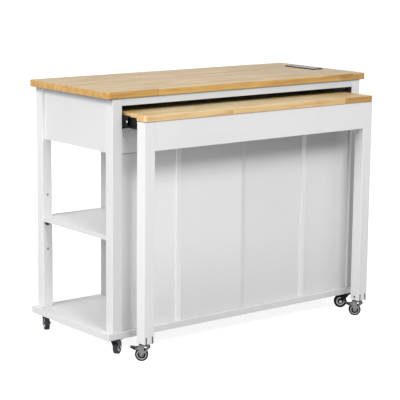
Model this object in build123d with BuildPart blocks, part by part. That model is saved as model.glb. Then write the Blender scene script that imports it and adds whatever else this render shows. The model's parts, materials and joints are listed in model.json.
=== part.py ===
from build123d import *
import math
import os

# A kitchen island on casters with a pull-out table on its dining side, in millimetres.
# X runs along the worktop, +Z is up, and the dining side faces -Y.
# The open shelves are at the -X end, and the doors and drawers face +Y.
# The origin is on the floor under the middle of the whole island, table pulled out as it rests.
# Pieces of the cabinet are written from the cabinet's own centre, which lies cabinet_y behind the origin.

# Worktop, base and overall sizes
worktop_length = 1200
worktop_depth = 490
worktop_thickness = 24
worktop_corner = 12
overall_height = 920
base_thickness = 23
base_corner = 5
end_overhang = 24
side_overhang = 7
wood_ease = 2.5
board_ease = 1.0

# Posts, panels and rails
post_size = 40
post_ease = 2.0
panel_thickness = 15
end_panel_recess = 12
front_panel_recess = 10
rail_height = 26
rail_thickness = 18
upper_height = 190
bay_height = 78
shadow_gap = 3
batten_width = 22
batten_depth = 5
batten_spread = 589
batten_shift = 7
joint_shift = 11
joint_strip_width = 18
joint_strip_thickness = 2
deck_thickness = 16

# Open bay, shelves and their pins
bay_width = 240
shelf_thickness = 16
side_shelf_height = 406
side_shelf_setback = 2
cabinet_shelf_height = 390
cabinet_shelf_lip = 10
shelf_fit = 0.5
pin_radius = 2.5
pin_length = 17
pin_hole_depth = 8.5
pin_hole_clearance = 0.05
pin_pitch = 100
partition_pin_spread = 300
cabinet_pin_inset = 7

# Doors, drawers, hinges and knobs on the far side
front_thickness = 16
front_gap = 3
stop_gap = 1
drawer_wall = 12
drawer_bottom_thickness = 5
drawer_bottom_rise = 5
drawer_rise = 5
drawer_height = 56
drawer_depth = 400
drawer_side_gap = 1
guide_thickness = 15
guide_height = 66
runner_width = 7
runner_height = 12
runner_rise = 30
runner_length = 400
runner_fit = 0.5
hinge_height = 60
hinge_knuckles = 3
hinge_inset = 80
hinge_leaf_thickness = 1.2
hinge_leaf_width = 12
hinge_barrel_radius = 3
hinge_pin_radius = 1.5
hinge_pin_fit = 0.05
hinge_clearance = 0.3
knob_radius = 14
knob_neck_radius = 5
knob_foot_radius = 8
knob_foot_height = 3
knob_head_height = 9
knob_projection = 22
knob_ease = 3
knob_inset = 36
knob_drop = 70

# Pull-out table
table_out = 61
table_side_gap = 6
table_thickness = 22
table_drop = 72
table_depth = 480
table_corner = 12
table_overhang = 3
leg_size = 44
leg_side_inset = 1
leg_ease = 2.5
leg_stow_gap = 7
apron_height = 99
apron_thickness = 18
table_rail_width = 18
table_rail_height = 30
table_rail_setback = 5
dowel_hole_radius = 3
dowel_hole_depth = 6
dowel_hole_rise = 13
leg_slot_width = 2.4
leg_slot_depth = 10
leg_slot_height = 25
leg_slot_spread = 26

# Telescopic slides between the posts and the table rails
slide_width = 12.5
slide_height = 45
slide_rise = 16
slide_wall = 1.2
slide_fit = 0.4
slide_step = 3.25
slide_length = 420
slide_front_gap = 3
slide_leg_gap = 2
slide_lip = 10
bearer_rise = 5

# Power strip let into the worktop
strip_end_inset = 67
strip_y = 33
strip_width = 54
strip_length = 166
strip_corner = 6
strip_proud = 3
strip_body_width = 30
strip_body_length = 148
strip_body_depth = 45
strip_slot_gap = 0.5
insert_margin = 7
insert_thickness = 2
outlet_offsets = (-44, -4)
blade_slot_width = 2.2
blade_slot_length = 7
blade_slot_spacing = 12.7
ground_radius = 2.4
ground_drop = 9
usb_slot_width = 6
usb_slot_length = 13
usb_offset = 48
usb_spacing = 12
gland_radius = 6
gland_length = 6
gland_inset = 12

# Casters: a height shared by all six, then the sizes that differ between cabinet and table
caster_height = 62
caster_inset_x = 45
caster_inset_y = 23
caster_plate = 42
caster_plate_corner = 3
caster_plate_thickness = 2.5
caster_race_radius = 14
caster_race_height = 3
swivel_gap = 0.3
crown_thickness = 3.5
crown_radius = 15
kingpin_radius = 4
kingpin_fit = 0.08
kingpin_head_radius = 6
kingpin_head_height = 1.5
fork_plate = 2
fork_gap = 1
axle_radius = 3
axle_fit = 0.06
axle_boss_radius = 7
axle_nut_radius = 4.5
axle_nut_height = 2.5
cabinet_wheel_radius = 25
table_wheel_radius = 23
wheel_width = 18
tyre_depth = 5.5
tyre_ease = 3
rim_inset = 1
cabinet_trail = 25
table_trail = 13
stem_radius = 5
stem_length = 40
stem_hole_extra = 3
brake_pin_radius = 2
brake_boss_radius = 4
brake_pin_forward = 17
brake_pin_height = 45
brake_width = 17
brake_root_radius = 3
brake_shoe_radius = 1.5
brake_shoe_forward = 23
brake_shoe_height = 40.5
brake_tip_radius = 2
brake_tip_forward = 37.5
brake_tip_height = 49.5
column_width = 19
column_forward = 1
ear_radius = 2.5
ear_back = 14
ear_height = 50
ear_root_drop = 5
ear_root_rise = 4

# Directions in which the wheels trail at rest, in degrees from +X
cabinet_caster_turns = {
    "front_left": 36.4,
    "front_right": 141.4,
    "back_left": 246.4,
    "back_right": 200.0,
}
table_caster_turn = 141.4

# Heights and planes worked out from the sizes above
half_length = worktop_length / 2
half_depth = worktop_depth / 2
worktop_bottom = overall_height - worktop_thickness
base_top = caster_height + base_thickness
post_out_x = half_length - end_overhang
post_in_x = post_out_x - post_size
post_out_y = half_depth - side_overhang
post_in_y = post_out_y - post_size
end_panel_out = post_out_x - end_panel_recess
end_panel_in = end_panel_out - panel_thickness
panel_front = post_out_y - front_panel_recess
panel_back = panel_front - panel_thickness
rail_bottom = worktop_bottom - rail_height
upper_bottom = worktop_bottom - upper_height
deck_top = upper_bottom + deck_thickness
sill_top = rail_bottom - bay_height
panel_top = upper_bottom - shadow_gap
partition_left = -post_in_x + bay_width
partition_right = partition_left + panel_thickness
front_in_y = post_out_y - front_thickness
stowed_front = half_depth + leg_stow_gap + leg_size + table_overhang
table_front = stowed_front + table_out
far_reach = post_out_y + knob_projection
cabinet_y = (table_front - far_reach) / 2
table_height = overall_height - table_drop
table_under = table_height - table_thickness
table_web = post_in_x - slide_width
strip_x = half_length - strip_end_inset
crown_top = caster_height - caster_plate_thickness - caster_race_height - swivel_gap
crown_bottom = crown_top - crown_thickness
crown_middle = crown_bottom + crown_thickness / 2

os.makedirs("parts", exist_ok=True)


def keep(part, label):
    """Name a finished piece and write it as its own file."""
    part.label = label
    export_step(part, f"parts/{label}.step")


def keep_group(parts, label):
    """Name and write several separate solids as one node."""
    keep(Compound(children=list(parts)), label)


def middle(span):
    """Return the middle of a pair of values."""
    return (span[0] + span[1]) / 2


def mirrored(span):
    """Return a pair of values reflected through zero, lower value first."""
    return (-span[1], -span[0])


def sides(span):
    """Return a span and its mirror image, for a left and a right piece."""
    return (mirrored(span), span)


def eased(ease, *lengths):
    """Limit an edge rounding to a third of the thinnest length that it has to fit on."""
    return min(ease, min(lengths) / 3)


def board(x, y, z, ease=board_ease):
    """Make a rectangular board between pairs of cabinet coordinates, with rounded edges."""
    lengths = [span[1] - span[0] for span in (x, y, z)]
    with BuildPart() as piece:
        with BuildSketch(Plane.XY.offset(z[0])):
            with Locations((middle(x), cabinet_y + middle(y))):
                Rectangle(lengths[0], lengths[1])
        extrude(amount=lengths[2])
        fillet(piece.edges(), eased(ease, *lengths))
    return piece.part


def rounded_slab(length, depth, corner, y, z, ease):
    """Make a flat slab with rounded corners in plan and rounded upper and lower edges."""
    with BuildPart() as slab:
        with BuildSketch(Plane.XY.offset(z[0])):
            with Locations((0, cabinet_y + y)):
                RectangleRounded(length, depth, corner)
        extrude(amount=z[1] - z[0])
        rims = slab.faces().sort_by(Axis.Z)[-1].edges() + slab.faces().sort_by(Axis.Z)[0].edges()
        fillet(rims, eased(ease, corner, z[1] - z[0]))
    return slab.part


def bored(part, points, direction, radius, depth):
    """Bore round holes into a piece, from points on its face and along one direction."""
    with BuildPart() as drilled:
        add(part)
        for point in points:
            mouth = Plane(origin=(point[0], cabinet_y + point[1], point[2]), z_dir=direction)
            with BuildSketch(mouth):
                Circle(radius)
            extrude(amount=depth, mode=Mode.SUBTRACT)
    return drilled.part


def peg(point, direction, radius, before, after):
    """Make a round peg along one direction, reaching before and after a point of the cabinet."""
    start = Vector(point[0], cabinet_y + point[1], point[2]) - Vector(*direction) * before
    with BuildPart() as pin:
        with BuildSketch(Plane(origin=start, z_dir=direction)):
            Circle(radius)
        extrude(amount=before + after)
    return pin.part


# Worktop, with a slot for the power strip
strip_slot_width = strip_body_width + 2 * strip_slot_gap
strip_slot_length = strip_body_length + 2 * strip_slot_gap
worktop_z = (worktop_bottom, overall_height)
with BuildPart() as worktop:
    add(rounded_slab(worktop_length, worktop_depth, worktop_corner, 0, worktop_z, wood_ease))
    with BuildSketch(Plane.XY.offset(worktop_bottom)):
        with Locations((strip_x, cabinet_y + strip_y)):
            Rectangle(strip_slot_width, strip_slot_length)
    extrude(amount=worktop_thickness, mode=Mode.SUBTRACT)
keep(worktop.part, "worktop")

# Base panel that the posts stand on
base_z = (caster_height, base_top)
base_panel = rounded_slab(worktop_length, worktop_depth, base_corner, 0, base_z, board_ease)
keep(base_panel, "base_panel")

# Corner posts, with rows of pin holes for the shelves
shelf_holes = (-pin_pitch, 0, pin_pitch)
side_pin_z = side_shelf_height - pin_radius
cabinet_pin_z = cabinet_shelf_height - pin_radius
post_middle_x = post_out_x - post_size / 2
cabinet_pin_y = post_in_y + cabinet_pin_inset
pin_hole_radius = pin_radius + pin_hole_clearance
post_z = (base_top, worktop_bottom)


def post(x_side, y_side):
    """Make one corner post, bored on the faces that look at the shelf it helps to carry."""
    x = (-post_out_x, -post_in_x) if x_side < 0 else (post_in_x, post_out_x)
    y = (-post_out_y, -post_in_y) if y_side < 0 else (post_in_y, post_out_y)
    blank = board(x, y, post_z, post_ease)
    if x_side < 0:
        mouths = [(-post_middle_x, y_side * post_in_y, side_pin_z + step) for step in shelf_holes]
        return bored(blank, mouths, (0, y_side, 0), pin_hole_radius, pin_hole_depth)
    mouths = [(post_in_x, y_side * cabinet_pin_y, cabinet_pin_z + step) for step in shelf_holes]
    return bored(blank, mouths, (1, 0, 0), pin_hole_radius, pin_hole_depth)


for end_name, end_side in (("left", -1), ("right", 1)):
    for face_name, face_side in (("front", -1), ("back", 1)):
        keep(post(end_side, face_side), f"post_{face_name}_{end_name}")

# End panels: only the upper zone is closed on the left, over the open shelves
between_posts = (-post_in_y, post_in_y)
keep(board((-end_panel_out, -end_panel_in), between_posts, (upper_bottom, worktop_bottom)), "left_end_panel")
keep(board((end_panel_in, end_panel_out), between_posts, post_z), "right_end_panel")

# Dining side: two panels meeting near the middle, the strip over their joint and two battens
panel_z = (base_top, panel_top)
panel_y = (-panel_front, -panel_back)
panel_spans = ((-post_in_x, joint_shift), (joint_shift, post_in_x))
keep_group([board(x, panel_y, panel_z) for x in panel_spans], "front_panels")
joint_strip_y = (-panel_front - joint_strip_thickness, -panel_front)
joint_strip_x = (joint_shift - joint_strip_width / 2, joint_shift + joint_strip_width / 2)
keep(board(joint_strip_x, joint_strip_y, panel_z), "panel_joint_strip")
batten_y = (-panel_front - batten_depth, -panel_front)
battens = []
for way in (-1, 1):
    batten_middle = batten_shift + way * batten_spread / 2
    batten_x = (batten_middle - batten_width / 2, batten_middle + batten_width / 2)
    battens.append(board(batten_x, batten_y, panel_z))
keep_group(battens, "panel_battens")

# Rails under the worktop and the sill board under the table bay
between_end_posts = (-post_in_x, post_in_x)
top_rail_y = (post_out_y - rail_thickness, post_out_y)
rail_z = (rail_bottom, worktop_bottom)
keep_group([board(between_end_posts, y, rail_z) for y in sides(top_rail_y)], "top_rails")
keep(board(between_end_posts, panel_y, (upper_bottom, sill_top)), "sill_board")

# Deck between the drawers and the cupboard, notched round the posts
deck_y = (-panel_back, front_in_y - stop_gap)
with BuildPart() as deck_panel:
    with BuildSketch(Plane.XY.offset(upper_bottom)):
        with Locations((0, cabinet_y + middle(deck_y))):
            Rectangle(2 * end_panel_in, deck_y[1] - deck_y[0])
        with Locations((0, cabinet_y)):
            with GridLocations(2 * post_middle_x, 2 * post_out_y - post_size, 2, 2):
                Rectangle(post_size, post_size, mode=Mode.SUBTRACT)
    extrude(amount=deck_thickness)
keep(deck_panel.part, "deck_panel")

# Partition behind the open bay, bored for the shelves on both of its faces
partition_x = (partition_left, partition_right)
partition_y = (-panel_back, post_out_y - stop_gap)
partition_blank = board(partition_x, partition_y, (base_top, upper_bottom))
partition_pin_y = partition_pin_spread / 2
left_mouths = [
    (partition_left, side * partition_pin_y, side_pin_z + step) for side in (-1, 1) for step in shelf_holes
]
right_mouths = [
    (partition_right, side * cabinet_pin_y, cabinet_pin_z + step) for side in (-1, 1) for step in shelf_holes
]
partition = bored(partition_blank, left_mouths, (1, 0, 0), pin_hole_radius, pin_hole_depth)
partition = bored(partition, right_mouths, (-1, 0, 0), pin_hole_radius, pin_hole_depth)
keep(partition, "partition_panel")

# Fascia over the open bay on the far side
fascia_x = (-post_in_x, partition_right)
keep(board(fascia_x, (front_in_y, post_out_y), (upper_bottom, rail_bottom)), "back_fascia")

# Side shelf in the open bay, notched round the two left posts
side_shelf_x = (-post_out_x + side_shelf_setback, partition_left - shelf_fit)
side_shelf_y = (-panel_back + shelf_fit, post_out_y - side_shelf_setback)
with BuildPart() as side_shelf:
    with BuildSketch(Plane.XY.offset(side_shelf_height)):
        with Locations((middle(side_shelf_x), cabinet_y + middle(side_shelf_y))):
            Rectangle(side_shelf_x[1] - side_shelf_x[0], side_shelf_y[1] - side_shelf_y[0])
        with Locations((-post_middle_x, cabinet_y)):
            with GridLocations(0, 2 * post_out_y - post_size, 1, 2):
                Rectangle(post_size + 2 * shelf_fit, post_size + 2 * shelf_fit, mode=Mode.SUBTRACT)
    extrude(amount=shelf_thickness)
    fillet(side_shelf.edges().filter_by(GeomType.LINE), eased(board_ease, shelf_thickness))
keep(side_shelf.part, "side_shelf")

# Inner shelf of the cupboard
cabinet_shelf_x = (partition_right + shelf_fit, post_in_x - shelf_fit)
cabinet_shelf_y = (-panel_back + shelf_fit, cabinet_pin_y + cabinet_shelf_lip)
cabinet_shelf_z = (cabinet_shelf_height, cabinet_shelf_height + shelf_thickness)
keep(board(cabinet_shelf_x, cabinet_shelf_y, cabinet_shelf_z), "cabinet_shelf")

# Shelf pins: half in the wood, half under the shelf
pin_out = pin_length - pin_hole_depth
pins = []
for side in (-1, 1):
    post_face = (-post_middle_x, side * post_in_y, side_pin_z)
    pins.append(peg(post_face, (0, side, 0), pin_radius, pin_out, pin_hole_depth))
    partition_face = (partition_left, side * partition_pin_y, side_pin_z)
    pins.append(peg(partition_face, (1, 0, 0), pin_radius, pin_out, pin_hole_depth))
    cupboard_face = (partition_right, side * cabinet_pin_y, cabinet_pin_z)
    pins.append(peg(cupboard_face, (-1, 0, 0), pin_radius, pin_out, pin_hole_depth))
    right_post_face = (post_in_x, side * cabinet_pin_y, cabinet_pin_z)
    pins.append(peg(right_post_face, (1, 0, 0), pin_radius, pin_out, pin_hole_depth))
keep_group(pins, "shelf_pins")

# Power strip: a framed body through the worktop and a socket insert flush with its frame
strip_top = overall_height + strip_proud
insert_size = (strip_width - 2 * insert_margin, strip_length - 2 * insert_margin)
strip_spot = (strip_x, cabinet_y + strip_y)
with BuildPart() as power_strip_body:
    with BuildSketch(Plane.XY.offset(overall_height)):
        with Locations(strip_spot):
            RectangleRounded(strip_width, strip_length, strip_corner)
    extrude(amount=strip_proud)
    upper_rim = power_strip_body.faces().sort_by(Axis.Z)[-1].edges()
    fillet(upper_rim, eased(board_ease, strip_proud))
    with BuildSketch(Plane.XY.offset(overall_height)):
        with Locations(strip_spot):
            Rectangle(strip_body_width, strip_body_length)
    extrude(amount=-strip_body_depth)
    with BuildSketch(Plane.XY.offset(strip_top)):
        with Locations(strip_spot):
            Rectangle(*insert_size)
    extrude(amount=-insert_thickness, mode=Mode.SUBTRACT)
    with BuildSketch(Plane.XY.offset(overall_height - strip_body_depth)):
        with Locations((strip_x, cabinet_y + strip_y + strip_body_length / 2 - gland_inset)):
            Circle(gland_radius)
    extrude(amount=-gland_length)
keep(power_strip_body.part, "power_strip_body")

with BuildPart() as power_strip_sockets:
    with BuildSketch(Plane.XY.offset(strip_top - insert_thickness)):
        with Locations(strip_spot):
            Rectangle(*insert_size)
        for outlet_offset in outlet_offsets:
            outlet_y = cabinet_y + strip_y + outlet_offset
            with Locations((strip_x, outlet_y)):
                with GridLocations(blade_slot_spacing, 0, 2, 1):
                    Rectangle(blade_slot_width, blade_slot_length, mode=Mode.SUBTRACT)
            with Locations((strip_x, outlet_y - ground_drop)):
                Circle(ground_radius, mode=Mode.SUBTRACT)
        with Locations((strip_x, cabinet_y + strip_y + usb_offset)):
            with GridLocations(usb_spacing, 0, 2, 1):
                Rectangle(usb_slot_width, usb_slot_length, mode=Mode.SUBTRACT)
    extrude(amount=insert_thickness)
keep(power_strip_sockets.part, "power_strip_sockets")

# Slide bearers on the ends, and the drawer guides with their runner strips
slide_top = table_under + slide_rise
slide_z = (slide_top - slide_height, slide_top)
bearer_z = (deck_top, slide_top + bearer_rise)
keep_group([board(x, between_posts, bearer_z) for x in sides((post_in_x, end_panel_in))], "slide_bearers")

drawer_middle = (partition_right + post_in_x) / 2
guide_y = (-panel_back, front_in_y - stop_gap)
guide_z = (deck_top, deck_top + guide_height)
runner_y = (guide_y[1] - runner_length, guide_y[1])
runner_z = (deck_top + runner_rise, deck_top + runner_rise + runner_height)
divider_x = (drawer_middle - guide_thickness / 2, drawer_middle + guide_thickness / 2)
guides = [board((partition_right - guide_thickness, partition_right), guide_y, guide_z)]
guides.append(board(divider_x, guide_y, guide_z))
for face, way in ((partition_right, 1), (divider_x[0], -1), (divider_x[1], 1), (post_in_x, -1)):
    runner_x = (min(face, face + way * runner_width), max(face, face + way * runner_width))
    guides.append(board(runner_x, runner_y, runner_z))
keep_group(guides, "drawer_guides")


def knob(x, z):
    """Make a turned knob standing on the far face of a door or drawer front."""
    face = Plane(origin=(x, cabinet_y + post_out_y, z), x_dir=(1, 0, 0), z_dir=(0, 1, 0))
    with BuildPart() as turned:
        with BuildSketch(face):
            Circle(knob_foot_radius)
        extrude(amount=knob_foot_height)
        with BuildSketch(face):
            Circle(knob_neck_radius)
        extrude(amount=knob_projection - knob_head_height)
        with BuildSketch(face.offset(knob_projection - knob_head_height)):
            Circle(knob_radius)
        extrude(amount=knob_head_height)
        rims = turned.edges().filter_by(GeomType.CIRCLE).filter_by(lambda rim: rim.radius == knob_radius)
        fillet(rims, eased(knob_ease, knob_head_height))
    return turned.part


# Drawers: an inset front, and a box whose grooved sides hang on the runner strips
drawer_z = (deck_top + drawer_rise, deck_top + drawer_rise + drawer_height)
drawer_y = (front_in_y - drawer_depth, front_in_y)
groove_depth = runner_width - drawer_side_gap + runner_fit
groove_z = (runner_z[0] - runner_fit, runner_z[1] + runner_fit)
drawer_front_z = (upper_bottom + front_gap, rail_bottom - front_gap)
front_y = (front_in_y, post_out_y)
drawer_spans = {
    "left": (partition_right, drawer_middle),
    "right": (drawer_middle, post_in_x),
}
guide_faces = {
    "left": (partition_right, divider_x[0]),
    "right": (divider_x[1], post_in_x),
}


def front_span(end_name):
    """Return the X span of the door or drawer front at one end, with its gaps."""
    left_gap = front_gap if end_name == "left" else front_gap / 2
    right_gap = front_gap / 2 if end_name == "left" else front_gap
    return (drawer_spans[end_name][0] + left_gap, drawer_spans[end_name][1] - right_gap)


def drawer_side(x, outer_way):
    """Make one side of a drawer box, grooved on its outer face."""
    with BuildPart() as side:
        add(board(x, drawer_y, drawer_z))
        outer_face = x[1] if outer_way > 0 else x[0]
        groove_start = outer_face - outer_way * groove_depth
        with BuildSketch(Plane.XY.offset(groove_z[0])):
            with Locations((middle((outer_face, groove_start)), cabinet_y + middle(drawer_y))):
                Rectangle(groove_depth, drawer_depth)
        extrude(amount=groove_z[1] - groove_z[0], mode=Mode.SUBTRACT)
    return side.part


for end_name in ("left", "right"):
    keep(board(front_span(end_name), front_y, drawer_front_z), f"drawer_{end_name}_front")
    outer_x = (guide_faces[end_name][0] + drawer_side_gap, guide_faces[end_name][1] - drawer_side_gap)
    inner_x = (outer_x[0] + drawer_wall, outer_x[1] - drawer_wall)
    back_y = (drawer_y[0], drawer_y[0] + drawer_wall)
    bottom_z = (drawer_z[0] + drawer_bottom_rise, drawer_z[0] + drawer_bottom_rise + drawer_bottom_thickness)
    box_pieces = [
        drawer_side((outer_x[0], inner_x[0]), -1),
        drawer_side((inner_x[1], outer_x[1]), 1),
        board(inner_x, back_y, drawer_z),
        board(inner_x, (back_y[1], drawer_y[1]), bottom_z),
    ]
    keep_group(box_pieces, f"drawer_{end_name}_box")
    keep(knob(middle(front_span(end_name)), middle(drawer_front_z)), f"drawer_{end_name}_knob")

# Doors, hung on butt hinges whose pins stand just outside the door faces
door_z = (base_top + front_gap, upper_bottom - front_gap)
hinge_axis_y = post_out_y + hinge_barrel_radius + hinge_clearance
hinge_heights = (door_z[0] + hinge_inset, door_z[1] - hinge_inset)
knuckle = hinge_height / hinge_knuckles


def hinge_leaf(axis_x, way, z, knuckle_rows, bore):
    """Make one hinge leaf: a plate beside the axis and the knuckles that it carries."""
    plate_x = axis_x + way * (front_gap / 2 - hinge_leaf_thickness / 2)
    plate_y = front_in_y + (post_out_y - front_in_y) / 2
    base = z - hinge_height / 2
    with BuildPart() as leaf:
        with BuildSketch(Plane.XY.offset(base)):
            with Locations((plate_x, cabinet_y + plate_y)):
                Rectangle(hinge_leaf_thickness, hinge_leaf_width)
        extrude(amount=hinge_height)
        for row in knuckle_rows:
            with BuildSketch(Plane.XY.offset(base + row * knuckle + hinge_clearance / 2)):
                with Locations((plate_x, cabinet_y + middle((plate_y, hinge_axis_y)))):
                    Rectangle(hinge_leaf_thickness, hinge_axis_y - plate_y)
                with Locations((axis_x, cabinet_y + hinge_axis_y)):
                    Circle(hinge_barrel_radius)
                    if bore:
                        Circle(hinge_pin_radius + hinge_pin_fit, mode=Mode.SUBTRACT)
            extrude(amount=knuckle - hinge_clearance)
        if not bore:
            with BuildSketch(Plane.XY.offset(base)):
                with Locations((axis_x, cabinet_y + hinge_axis_y)):
                    Circle(hinge_pin_radius)
            extrude(amount=hinge_height)
    return leaf.part


hinge_axes = {
    "left": (partition_right + front_gap / 2, 1),
    "right": (post_in_x - front_gap / 2, -1),
}
frame_leaves = []
for end_name, (axis_x, way) in hinge_axes.items():
    keep(board(front_span(end_name), front_y, door_z), f"door_{end_name}")
    frame_leaves += [hinge_leaf(axis_x, -way, z, (0, 2), False) for z in hinge_heights]
    door_leaves = [hinge_leaf(axis_x, way, z, (1,), True) for z in hinge_heights]
    keep_group(door_leaves, f"door_{end_name}_hinge_leaves")
    meeting_edge = front_span(end_name)[1] if way > 0 else front_span(end_name)[0]
    keep(knob(meeting_edge - way * knob_inset, door_z[1] - knob_drop), f"door_{end_name}_knob")
keep_group(frame_leaves, "door_hinge_frames")

# Pull-out table at its rest position: a top cut back beside the slides, then legs, apron and rails
table_half = post_in_x - table_side_gap
leg_out_x = table_half - leg_side_inset
leg_x = (leg_out_x - leg_size, leg_out_x)
leg_y = (-table_front + table_overhang, -table_front + table_overhang + leg_size)
table_y = (-table_front, -table_front + table_depth)
table_z = (table_under, table_height)
with BuildPart() as table_top:
    add(rounded_slab(2 * table_half, table_depth, table_corner, middle(table_y), table_z, wood_ease))
    with BuildSketch(Plane.XY.offset(table_under)):
        for way in (-1, 1):
            with Locations((way * table_half, cabinet_y + table_y[1])):
                Rectangle(2 * (table_half - table_web), 2 * (table_y[1] - leg_y[1]))
    extrude(amount=table_thickness, mode=Mode.SUBTRACT)
keep(table_top.part, "table_top")

for end_name, way in (("left", -1), ("right", 1)):
    span = leg_x if way > 0 else mirrored(leg_x)
    leg = board(span, leg_y, (caster_height, table_under), leg_ease)
    foot = (middle(span), middle(leg_y), caster_height)
    leg = bored(leg, [foot], (0, 0, 1), stem_radius, stem_length + stem_hole_extra)
    dowel_mouth = (way * leg_x[0], middle(leg_y), caster_height + dowel_hole_rise)
    leg = bored(leg, [dowel_mouth], (way, 0, 0), dowel_hole_radius, dowel_hole_depth)
    with BuildPart() as slotted_leg:
        add(leg)
        with BuildSketch(Plane.XY.offset(caster_height)):
            with Locations((middle(span), cabinet_y + leg_y[0])):
                with GridLocations(leg_slot_spread, 0, 2, 1):
                    Rectangle(leg_slot_width, 2 * leg_slot_depth)
        extrude(amount=leg_slot_height, mode=Mode.SUBTRACT)
    keep(slotted_leg.part, f"table_leg_{end_name}")

apron_y = (leg_y[0], leg_y[0] + apron_thickness)
keep(board((-leg_x[0], leg_x[0]), apron_y, (table_under - apron_height, table_under)), "table_apron")

table_rail_x = (table_web - table_rail_width, table_web)
table_rail_y = (leg_y[1], table_y[1] - table_rail_setback)
table_rail_z = (table_under - table_rail_height, table_under)
end_rail_y = (table_rail_y[1] - table_rail_width, table_rail_y[1])
rails = [board(x, table_rail_y, table_rail_z) for x in sides(table_rail_x)]
rails.append(board((-table_rail_x[0], table_rail_x[0]), end_rail_y, table_rail_z))
keep_group(rails, "table_rails")


def channel(web_x, lip_x, y, inset):
    """Make one slide member: a channel with its web at one X and its open side at another."""
    height = slide_height - 2 * inset
    inner_web = web_x + math.copysign(slide_wall, lip_x - web_x)
    with BuildPart() as member:
        with BuildSketch(Plane.XZ.offset(-cabinet_y - y[1])):
            with Locations((middle((web_x, lip_x)), middle(slide_z))):
                Rectangle(abs(lip_x - web_x), height)
            with Locations((middle((inner_web, lip_x)), middle(slide_z))):
                Rectangle(abs(lip_x - inner_web), height - 2 * slide_wall, mode=Mode.SUBTRACT)
        extrude(amount=y[1] - y[0])
    return member.part


# Slides: nested channels on the bearer, between, and on the table rail
nest = slide_wall + slide_fit
cabinet_slide_y = (-panel_front + slide_front_gap, -panel_front + slide_front_gap + slide_length)
table_slide_y = (leg_y[1] + slide_leg_gap, leg_y[1] + slide_leg_gap + slide_length)
middle_slide_start = middle((cabinet_slide_y[0], table_slide_y[0]))
middle_slide_y = (middle_slide_start, middle_slide_start + slide_length)
middle_web = post_in_x - nest
middle_lip = table_web + nest + slide_fit
table_lip = middle_web - nest
slide_members = {
    "slide_cabinet_members": (post_in_x, post_in_x - slide_lip, cabinet_slide_y, 0),
    "slide_middle_members": (middle_web, middle_lip, middle_slide_y, slide_step),
    "slide_table_members": (table_web, table_lip, table_slide_y, 2 * slide_step),
}
for label, (web_x, lip_x, span_y, inset) in slide_members.items():
    keep_group([channel(way * web_x, way * lip_x, span_y, inset) for way in (-1, 1)], label)


def swivel_mount(square_plate):
    """Make the fixed top of a caster at the origin: its plate or stem, race and kingpin."""
    with BuildPart() as mount:
        with BuildSketch(Plane.XY.offset(caster_height - caster_plate_thickness)):
            if square_plate:
                RectangleRounded(caster_plate, caster_plate, caster_plate_corner)
            else:
                Circle(caster_race_radius)
        extrude(amount=caster_plate_thickness)
        with BuildSketch(Plane.XY.offset(caster_height - caster_plate_thickness)):
            Circle(caster_race_radius)
        extrude(amount=-caster_race_height)
        with BuildSketch(Plane.XY.offset(crown_bottom - swivel_gap - kingpin_head_height)):
            Circle(kingpin_head_radius)
        extrude(amount=kingpin_head_height)
        with BuildSketch(Plane.XY.offset(crown_bottom - swivel_gap)):
            Circle(kingpin_radius)
        extrude(amount=caster_height - caster_plate_thickness - crown_bottom + swivel_gap)
        if not square_plate:
            with BuildSketch(Plane.XY.offset(caster_height)):
                Circle(stem_radius)
            extrude(amount=stem_length)
    return mount.part


fork_inner = wheel_width / 2 + fork_gap
fork_outer = fork_inner + fork_plate
crown_flat = math.sqrt(crown_radius**2 - fork_outer**2)
brake_pin_x = table_trail + brake_pin_forward


def stretched(circles):
    """Return the flat outline stretched round a set of circles, each given as (x, y, radius)."""
    with BuildSketch() as outline:
        for x, y, radius in circles:
            with Locations((x, y)):
                Circle(radius)
        make_hull()
    return outline.sketch


def plain_cheek(wheel_radius, trail):
    """Return the outline of a plain cheek: from the crown's flat down to the axle."""
    crown_ends = [(way * crown_flat, crown_middle, crown_thickness / 2) for way in (-1, 1)]
    return stretched(crown_ends + [(trail, wheel_radius, axle_boss_radius)])


def braked_cheek(wheel_radius, trail):
    """Return the outline of a braked cheek: a column over the axle, an arm to the brake pin and a rear ear."""
    column_middle = trail + column_forward
    column_reach = column_width / 2 - crown_thickness / 2
    column_ends = [(column_middle + way * column_reach, crown_middle, crown_thickness / 2) for way in (-1, 1)]
    with BuildSketch() as outline:
        add(stretched(column_ends + [(trail, wheel_radius, axle_boss_radius)]))
        arm_root = (column_middle, brake_pin_height, brake_boss_radius)
        add(stretched([arm_root, (brake_pin_x, brake_pin_height, brake_boss_radius)]))
        ear_root = (trail - ear_root_drop, wheel_radius + ear_root_rise, ear_radius)
        add(stretched([ear_root, (-ear_back, ear_height, ear_radius)]))
        with Locations((brake_pin_x, brake_pin_height)):
            Circle(brake_pin_radius + axle_fit, mode=Mode.SUBTRACT)
    return outline.sketch


def fork(wheel_radius, trail, cheek):
    """Make a caster fork at the origin, trailing along +X: a crown disc over two cheeks."""
    with BuildPart() as body:
        with BuildSketch(Plane.XY.offset(crown_bottom)):
            Circle(crown_radius)
            Circle(kingpin_radius + kingpin_fit, mode=Mode.SUBTRACT)
        extrude(amount=crown_thickness)
        with BuildSketch(Plane.XZ.offset(fork_inner)):
            add(cheek(wheel_radius, trail))
            with Locations((trail, wheel_radius)):
                Circle(axle_radius, mode=Mode.SUBTRACT)
        extrude(amount=fork_plate)
        mirror(about=Plane.XZ)
    return body.part


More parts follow.
